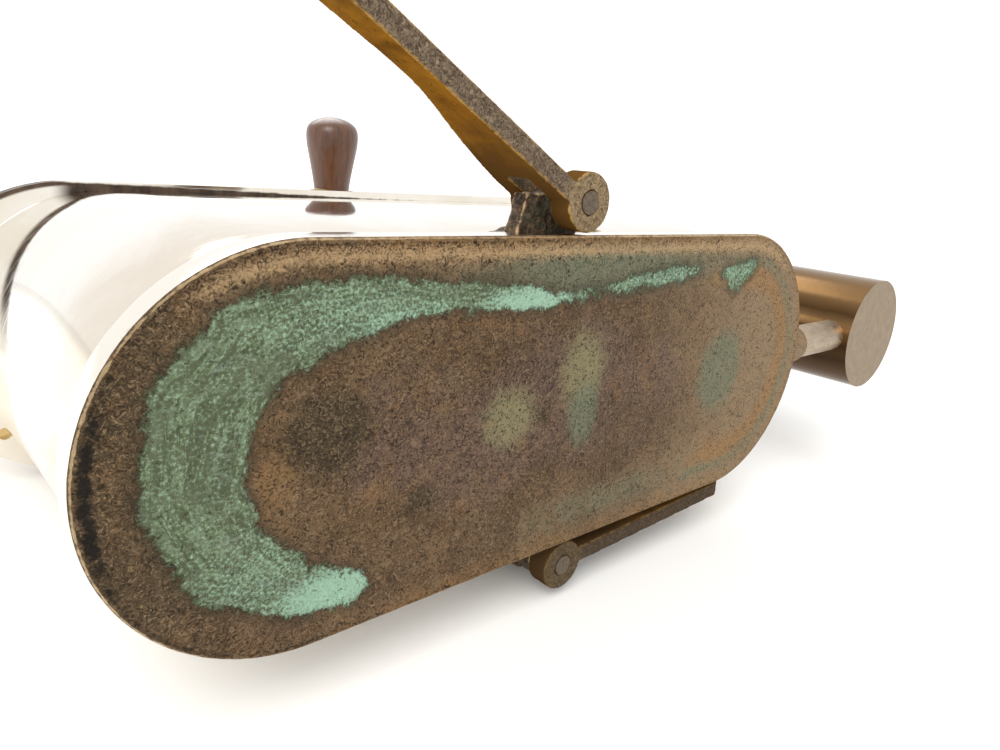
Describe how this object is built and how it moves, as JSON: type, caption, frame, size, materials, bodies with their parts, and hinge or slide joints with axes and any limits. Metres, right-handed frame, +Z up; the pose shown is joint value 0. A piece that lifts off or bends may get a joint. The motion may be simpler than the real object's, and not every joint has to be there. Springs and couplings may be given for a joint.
{
  "type": "manual bilge pump",
  "caption": "Lever-worked twin-barrel bilge pump in an oblong metal case on a cast base, with a suction strainer pot, two fold-out foot levers and a wooden knob on its handle.",
  "frame": {"origin": "centre of the oblong base's underside", "axes": "+Z up from the base, +X along the base towards the suction pot, -Y towards the side with the handle's knob"},
  "size_m": [0.39, 0.1665, 0.2495],
  "materials": {
    "cast_bronze": "rough cast, aged, with verdigris",
    "nickel": "polished nickel plate with fine scratches",
    "dark_bronze": "dark patina with a worn bright edge",
    "bronze": "satin cast bronze",
    "lever_bronze": "granular cast sides, golden worn faces",
    "corroded_bronze": "dark, with green corrosion",
    "polished_bronze": "polished, tarnished",
    "satin_bronze": "matte grey-tan patina",
    "brass": "turned",
    "steel": "turned, slightly dulled",
    "leather": "oiled",
    "rubber": "matte",
    "varnished_wood": "dark reddish-brown varnish"
  },
  "bodies": {
    "root": {"base_casting": "cast_bronze", "body_shell": "nickel", "shell_flange": "dark_bronze", "cover_gasket": "leather", "top_cover": "nickel", "cover_screws": "brass", "valve_plate": "bronze", "valve_chest": "bronze", "front_pedestal": "bronze", "front_bush": "brass", "rear_pedestal": "bronze", "rear_bush": "brass", "pedestal_screws": "brass", "front_foot_bracket": "corroded_bronze", "front_foot_pin": "steel", "rear_foot_bracket": "corroded_bronze", "rear_foot_pin": "steel", "suction_pot": "polished_bronze", "pot_lid": "polished_bronze", "pot_seal": "rubber", "strainer_basket": "brass", "suction_pipe": "satin_bronze", "suction_spigot": "polished_bronze", "spigot_screws": "brass", "delivery_spout": "polished_bronze", "spout_screws": "brass", "left_barrel": "brass", "left_gland_packing": "leather", "left_gland_nut": "brass", "right_barrel": "brass", "right_gland_packing": "leather", "right_gland_nut": "brass"},
    "handle": {"rocker_shaft": "steel", "shaft_collar": "steel", "rocker_quadrant": "bronze", "handle_arm": "bronze", "handle_nut": "bronze", "knob_spindle": "steel", "knob_washer": "brass"},
    "knob": {"wooden_knob": "varnished_wood"},
    "front_foot": {"front_foot_lever": "lever_bronze"},
    "rear_foot": {"rear_foot_lever": "lever_bronze"},
    "left_plunger": {"left_piston": "bronze", "left_cup_leather": "leather", "left_piston_nut": "brass", "left_piston_rod": "steel"},
    "left_plunger_valve": {"left_piston_valve": "bronze"},
    "left_inlet_valve": {"left_foot_valve": "bronze"},
    "right_plunger": {"right_piston": "bronze", "right_cup_leather": "leather", "right_piston_nut": "brass", "right_piston_rod": "steel"},
    "right_plunger_valve": {"right_piston_valve": "bronze"},
    "right_inlet_valve": {"right_foot_valve": "bronze"}
  },
  "joints": [
    {"name": "handle_swing", "type": "hinge", "parent": "root", "child": "handle", "pos_m": [0, 0, 0.198], "axis": [0, 1, 0], "range_deg": [-50, 0]},
    {"name": "knob_spin", "type": "hinge", "parent": "handle", "child": "knob", "pos_m": [0.04957, -0.06, 0.2359], "axis": [0, -1, 0], "continuous": true},
    {"name": "right_piston_slide", "type": "slide", "parent": "root", "child": "right_plunger", "axis": [0, 0, 1], "range_m": [0, 0.035]},
    {"name": "left_piston_slide", "type": "slide", "parent": "root", "child": "left_plunger", "axis": [0, 0, 1], "range_m": [-0.035, 0]},
    {"name": "right_piston_valve_lift", "type": "slide", "parent": "right_plunger", "child": "right_plunger_valve", "axis": [0, 0, 1], "range_m": [0, 0.003]},
    {"name": "left_piston_valve_lift", "type": "slide", "parent": "left_plunger", "child": "left_plunger_valve", "axis": [0, 0, 1], "range_m": [0, 0.003]},
    {"name": "right_foot_valve_lift", "type": "slide", "parent": "root", "child": "right_inlet_valve", "axis": [0, 0, 1], "range_m": [0, 0.003]},
    {"name": "left_foot_valve_lift", "type": "slide", "parent": "root", "child": "left_inlet_valve", "axis": [0, 0, 1], "range_m": [0, 0.003]},
    {"name": "front_foot_hinge", "type": "hinge", "parent": "root", "child": "front_foot", "pos_m": [-0.0029, -0.0567, 0.013], "axis": [0, 0, 1], "range_deg": [-31, 60]},
    {"name": "rear_foot_hinge", "type": "hinge", "parent": "root", "child": "rear_foot", "pos_m": [0.0029, 0.0567, 0.013], "axis": [0, 0, 1], "range_deg": [0, 90]}
  ],
  "couplings": [
    {"joint": "right_piston_slide", "follows": "handle_swing", "m_per_rad": -0.04},
    {"joint": "left_piston_slide", "follows": "handle_swing", "m_per_rad": 0.04}
  ]
}
